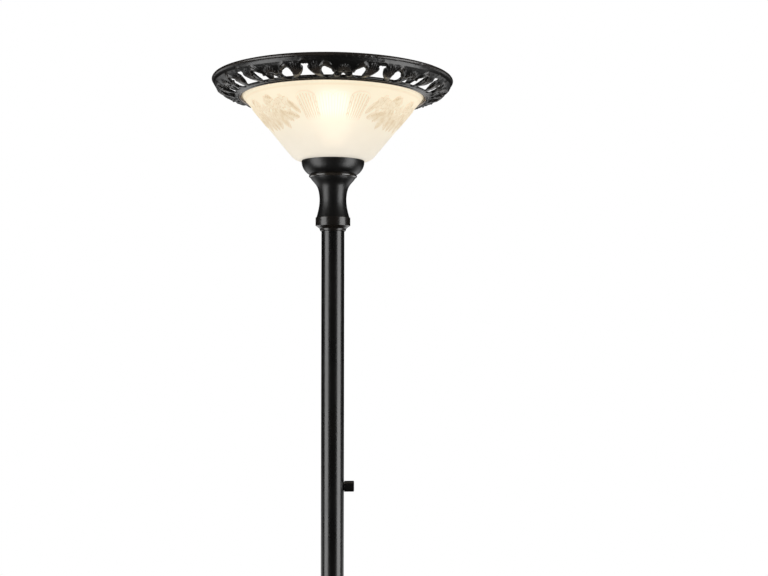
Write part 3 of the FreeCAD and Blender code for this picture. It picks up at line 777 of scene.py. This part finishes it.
def acanthus_leaf():
    """The veined leaf between a bell and the next leaf gap; y runs away from the bell."""
    relief = Relief()
    tips = ((19.6, 7.6), (23.0, 10.0), (24.6, 13.2), (23.8, 16.4), (20.6, 18.8))
    for vein, tip in enumerate(tips):
        foot = (1.5, 17.2 + 0.5 * vein)
        waist = (10.0, 9.9 + 1.9 * vein)
        relief.strand([foot, waist, tip], (0.7, 1.0, 1.2, 0.7), 3.5)
    edge = [(0.4, 17.2), (6.0, 11.3), (11.5, 8.0), (18.0, 5.1), (20.6, 7.0)]
    relief.strand(edge, (0.7, 1.1, 1.1, 0.8), 2.5)
    return relief.mesh()


def bell_brow():
    """The small arch over a bell's cap and half of the bracket under its skirt."""
    relief = Relief()
    relief.strand([(23.6, 7.2), (26.0, 3.8), (26.6, 0.0)], (0.6, 1.1, 1.2), 2.3)
    relief.strand([(-2.4, 17.0), (-2.2, 12.0), (-2.8, 5.6), (-2.2, 0.0)], (0.8, 0.9, 0.9, 1.0), 2.0)
    return relief.mesh()


def ridge_lines():
    """The raised lines that run round the ring's two borders."""
    bm = bmesh.new()
    for ridge, height in RING_RIDGES:
        outline = bmesh.ops.create_circle(bm, segments=8, radius=1)["verts"]
        size = Matrix.Diagonal((0.8, height, 1, 1))
        stand = Matrix.Translation((ridge, 0, 0)) @ Matrix.Rotation(math.radians(90), 4, "X") @ size
        bmesh.ops.transform(bm, matrix=stand, verts=outline)
        edges = list({edge for vert in outline for edge in vert.link_edges})
        bmesh.ops.spin(
            bm, geom=edges, axis=(0, 0, 1), cent=(0, 0, 0), angle=math.tau, steps=180, use_merge=True)
    made = bpy.data.meshes.new("ridges")
    bm.to_mesh(made)
    bm.free()
    return made


def cast_ring():
    """The casting: the frame's pierced ring with fans, scrolls and leaves fused on, both faces alike."""
    bm = bmesh.new()
    period = 360 / RING_PERIODS
    motifs = (
        (fan_half(), period / 2, 0.0),
        (hood_scroll(), 0.0, LEAF_GAP_ANGLE),
        (acanthus_leaf(), 0.0, 0.0),
        (bell_brow(), 0.0, 0.0),
    )
    for relief, centre, swing in motifs:
        for number in range(RING_PERIODS):
            for side in (-1, 1):
                copy = relief.copy()
                turn = FIRST_BELL + number * period + centre + side * swing
                out = Matrix.Translation((OPENINGS_FOOT, 0, 0))
                flip = Matrix.Diagonal((1, side, 1, 1))
                copy.transform(Matrix.Rotation(math.radians(turn), 4, "Z") @ out @ flip)
                bm.from_mesh(copy)
                bpy.data.meshes.remove(copy)
    ridges = ridge_lines()
    bm.from_mesh(ridges)
    bpy.data.meshes.remove(ridges)
    flat = np.array([tuple(vert.co) for vert in bm.verts])
    for vert, place in zip(bm.verts, on_ring(flat)):
        vert.co = place * MM
    relief_count = len(bm.verts)
    bm.from_mesh(nodes["rim_ring"].data)
    bm.verts.ensure_lookup_table()
    bmesh.ops.remove_doubles(bm, verts=bm.verts[relief_count:], dist=0.01 * MM)
    bmesh.ops.recalc_face_normals(bm, faces=bm.faces)
    ring = new_piece("cast_ring", bm)
    remesh = ring.modifiers.new("fuse", "REMESH")
    remesh.mode = "VOXEL"
    remesh.voxel_size = RING_VOXEL
    remesh.use_smooth_shade = True
    apply_modifiers(ring)
    bm = bmesh.new()
    bm.from_mesh(ring.data)
    bmesh.ops.smooth_vert(bm, verts=bm.verts, factor=0.5, use_axis_x=True, use_axis_y=True, use_axis_z=True)
    bm.to_mesh(ring.data)
    bm.free()
    thin = ring.modifiers.new("thin", "DECIMATE")
    thin.ratio = RING_TRIANGLES / sum(len(face.vertices) - 2 for face in ring.data.polygons)
    apply_modifiers(ring)
    raised = ring.data.attributes.new("raised", "FLOAT", "POINT")
    raised.data.foreach_set("value", off_ring(vertex_places(ring.data) / MM).astype(np.float32))
    finish_piece(ring, casting, "ring_casting", "rim_ring")


cast_ring()


# ---------------------------------------------------------------- studio

SKY_LIGHT = 0.8
STUDIO_DARK = 0.010
BACKDROP_GLOW = 1.2


def studio_sky():
    """White to the camera, soft light on matt surfaces, and dark with a pale low backdrop in reflections."""
    scene.world = bpy.data.worlds.new("studio")
    sky = Finish(scene.world)
    across, away, up = sky.split(sky.node("TexCoord", output="Generated"))
    low = (up * -1.0).between(0.12, 0.38) * (1.0 - (up * -1.0).between(0.45, 0.70))
    backdrop = away.between(0.15, 0.75) * low * BACKDROP_GLOW + STUDIO_DARK
    rays = sky.node("LightPath").socket.node.outputs
    white = colour(1.0, 1.0, 1.0)
    mirrored = sky.node("Background", None, {"Color": white, "Strength": backdrop})
    soft = sky.node("Background", None, {"Color": white, "Strength": SKY_LIGHT})
    seen = sky.node("Background", None, {"Color": white, "Strength": 1.0})
    light = sky.node("MixShader", None, {0: Wire(sky, rays["Is Glossy Ray"]), 1: soft, 2: mirrored})
    light = sky.node("MixShader", None, {0: Wire(sky, rays["Is Camera Ray"]), 1: light, 2: seen})
    sky.done(light, "OutputWorld")


def softbox(name, azimuth, distance, height, width, tall, power):
    """A tall light for reflections that faces the lamp's axis; azimuth 0 is the front, towards -Y."""
    data = bpy.data.lights.new(name, "AREA")
    data.shape = "RECTANGLE"
    data.size = width
    data.size_y = tall
    data.energy = power
    box = bpy.data.objects.new(name, data)
    turn = math.radians(azimuth)
    away = Vector((math.sin(turn), -math.cos(turn), 0))
    box.location = away * distance + Vector((0, 0, height))
    box.rotation_euler = (-away).to_track_quat("-Z", "Y").to_euler()
    box.visible_camera = False
    box.visible_diffuse = False
    box.visible_transmission = False
    scene.collection.objects.link(box)


def floor_disc():
    """A pale floor that carries the lamp's shadow and fades into the white backdrop."""
    mesh = bpy.data.meshes.new("studio_floor")
    bm = bmesh.new()
    bmesh.ops.create_circle(bm, cap_ends=True, segments=128, radius=9.0)
    bm.to_mesh(mesh)
    bm.free()
    floor = bpy.data.objects.new("studio_floor", mesh)
    scene.collection.objects.link(floor)
    finish = Finish("pale_floor")
    x, y, z = finish.split(finish.place())
    far = (x * x + y * y).between(0.3, 6.0)
    shade = finish.mix(far, colour(0.55, 0.55, 0.55), colour(1.0, 1.0, 1.0))
    matt = finish.node("BsdfDiffuse", None, {"Color": colour(0.80, 0.80, 0.80)})
    glow = finish.node("Emission", None, {"Color": shade})
    both = finish.node("MixShader", None, {0: far, 1: finish.node(
        "AddShader", None, {0: matt, 1: finish.node("Emission", None, {"Strength": 0.25})}), 2: glow})
    floor.data.materials.append(finish.done(both))
    floor.visible_glossy = False


def close_camera():
    """Close in on the lit top, a little below the bowl's rim and looking slightly down."""
    data = bpy.data.cameras.new("camera")
    data.lens = 44.96
    camera = bpy.data.objects.new("camera", data)
    camera.location = (0.0, -1.3389, 1.5055)
    camera.rotation_euler = (math.radians(90 + 0.398), math.radians(-0.088), math.radians(-3.056))
    scene.collection.objects.link(camera)
    scene.camera = camera


studio_sky()
floor_disc()
mid_height = lamp_height / 2
softbox("left_softbox", -64, 2.1, mid_height, 1.5, 2.8, 52)
softbox("right_softbox", 66, 2.1, mid_height, 1.5, 2.8, 58)
close_camera()
scene.view_settings.view_transform = "Standard"
